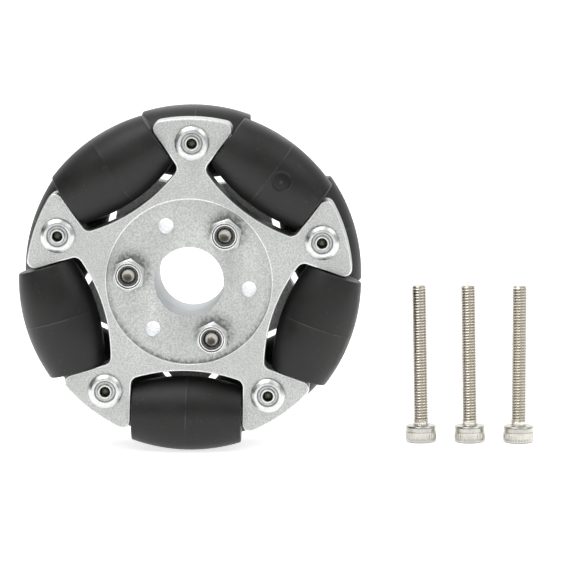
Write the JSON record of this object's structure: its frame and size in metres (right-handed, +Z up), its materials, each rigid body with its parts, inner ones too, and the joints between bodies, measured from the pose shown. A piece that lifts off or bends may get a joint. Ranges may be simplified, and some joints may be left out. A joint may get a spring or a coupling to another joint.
{
  "type": "double row omni wheel with mounting screws",
  "caption": "Double row omni wheel with barrel rollers riveted between cast star plates, a bolted hub with a smooth bore, and its loose mounting screws.",
  "frame": {"origin": "the wheel's centre, on its axis and midway between its two rows of rollers", "axes": "+Y along the wheel's axis from its nut side to its bolt head side, +Z up with the wheel standing on its rim, +X towards the loose mounting screws"},
  "size_m": [0.0908, 0.025, 0.06],
  "materials": {
    "cast_aluminium": "fine blasted cast surface",
    "machined_aluminium": "smooth machined",
    "axle_steel": "ground",
    "rivet_aluminium": "bright",
    "screw_steel": "bright stainless",
    "nut_zinc": "bright zinc plate",
    "nylon": "satin",
    "roller_plastic": "satin moulded"
  },
  "bodies": {
    "wheel": {"front_outer_star": "cast_aluminium", "front_inner_star": "cast_aluminium", "rear_outer_star": "cast_aluminium", "rear_inner_star": "cast_aluminium", "hub_spacer": "machined_aluminium", "front_axle_1": "axle_steel", "front_axle_2": "axle_steel", "front_axle_3": "axle_steel", "front_axle_4": "axle_steel", "front_axle_5": "axle_steel", "front_rivet_1": "rivet_aluminium", "front_rivet_2": "rivet_aluminium", "front_rivet_3": "rivet_aluminium", "front_rivet_4": "rivet_aluminium", "front_rivet_5": "rivet_aluminium", "rear_axle_1": "axle_steel", "rear_axle_2": "axle_steel", "rear_axle_3": "axle_steel", "rear_axle_4": "axle_steel", "rear_axle_5": "axle_steel", "rear_rivet_1": "rivet_aluminium", "rear_rivet_2": "rivet_aluminium", "rear_rivet_3": "rivet_aluminium", "rear_rivet_4": "rivet_aluminium", "rear_rivet_5": "rivet_aluminium", "hub_bolt_1": "screw_steel", "lock_nut_1": "nut_zinc", "nylon_insert_1": "nylon", "hub_bolt_2": "screw_steel", "lock_nut_2": "nut_zinc", "nylon_insert_2": "nylon", "hub_bolt_3": "screw_steel", "lock_nut_3": "nut_zinc", "nylon_insert_3": "nylon"},
    "front_roller_1": {"front_roller_1": "roller_plastic"},
    "front_roller_2": {"front_roller_2": "roller_plastic"},
    "front_roller_3": {"front_roller_3": "roller_plastic"},
    "front_roller_4": {"front_roller_4": "roller_plastic"},
    "front_roller_5": {"front_roller_5": "roller_plastic"},
    "rear_roller_1": {"rear_roller_1": "roller_plastic"},
    "rear_roller_2": {"rear_roller_2": "roller_plastic"},
    "rear_roller_3": {"rear_roller_3": "roller_plastic"},
    "rear_roller_4": {"rear_roller_4": "roller_plastic"},
    "rear_roller_5": {"rear_roller_5": "roller_plastic"},
    "mounting_screw_1": {"mounting_screw_1": "screw_steel"},
    "mounting_screw_2": {"mounting_screw_2": "screw_steel"},
    "mounting_screw_3": {"mounting_screw_3": "screw_steel"}
  },
  "joints": [
    {"name": "front_roller_1_spin", "type": "hinge", "parent": "wheel", "child": "front_roller_1", "pos_m": [-0.00057, -0.006, -0.02349], "axis": [0.9997, 0, -0.0244], "continuous": true},
    {"name": "front_roller_2_spin", "type": "hinge", "parent": "wheel", "child": "front_roller_2", "pos_m": [0.02217, -0.006, -0.00781], "axis": [0.3322, 0, 0.9432], "continuous": true},
    {"name": "front_roller_3_spin", "type": "hinge", "parent": "wheel", "child": "front_roller_3", "pos_m": [0.01427, -0.006, 0.01867], "axis": [-0.7944, 0, 0.6074], "continuous": true},
    {"name": "front_roller_4_spin", "type": "hinge", "parent": "wheel", "child": "front_roller_4", "pos_m": [-0.01334, -0.006, 0.01934], "axis": [-0.8231, 0, -0.5678], "continuous": true},
    {"name": "front_roller_5_spin", "type": "hinge", "parent": "wheel", "child": "front_roller_5", "pos_m": [-0.02252, -0.006, -0.00671], "axis": [0.2857, 0, -0.9583], "continuous": true},
    {"name": "rear_roller_1_spin", "type": "hinge", "parent": "wheel", "child": "rear_roller_1", "pos_m": [0.02252, 0.006, 0.00671], "axis": [0.2857, 0, -0.9583], "continuous": true},
    {"name": "rear_roller_2_spin", "type": "hinge", "parent": "wheel", "child": "rear_roller_2", "pos_m": [0.01334, 0.006, -0.01934], "axis": [-0.8231, 0, -0.5678], "continuous": true},
    {"name": "rear_roller_3_spin", "type": "hinge", "parent": "wheel", "child": "rear_roller_3", "pos_m": [-0.01427, 0.006, -0.01867], "axis": [-0.7944, 0, 0.6074], "continuous": true},
    {"name": "rear_roller_4_spin", "type": "hinge", "parent": "wheel", "child": "rear_roller_4", "pos_m": [-0.02217, 0.006, 0.00781], "axis": [0.3322, 0, 0.9432], "continuous": true},
    {"name": "rear_roller_5_spin", "type": "hinge", "parent": "wheel", "child": "rear_roller_5", "pos_m": [0.00057, 0.006, 0.02349], "axis": [0.9997, 0, -0.0244], "continuous": true},
    {"name": "mounting_screw_1_lift", "type": "slide", "parent": "wheel", "child": "mounting_screw_1", "axis": [0, 0, 1], "range_m": [0, 0.03]},
    {"name": "mounting_screw_2_lift", "type": "slide", "parent": "wheel", "child": "mounting_screw_2", "axis": [0, 0, 1], "range_m": [0, 0.03]},
    {"name": "mounting_screw_3_lift", "type": "slide", "parent": "wheel", "child": "mounting_screw_3", "axis": [0, 0, 1], "range_m": [0, 0.03]}
  ]
}
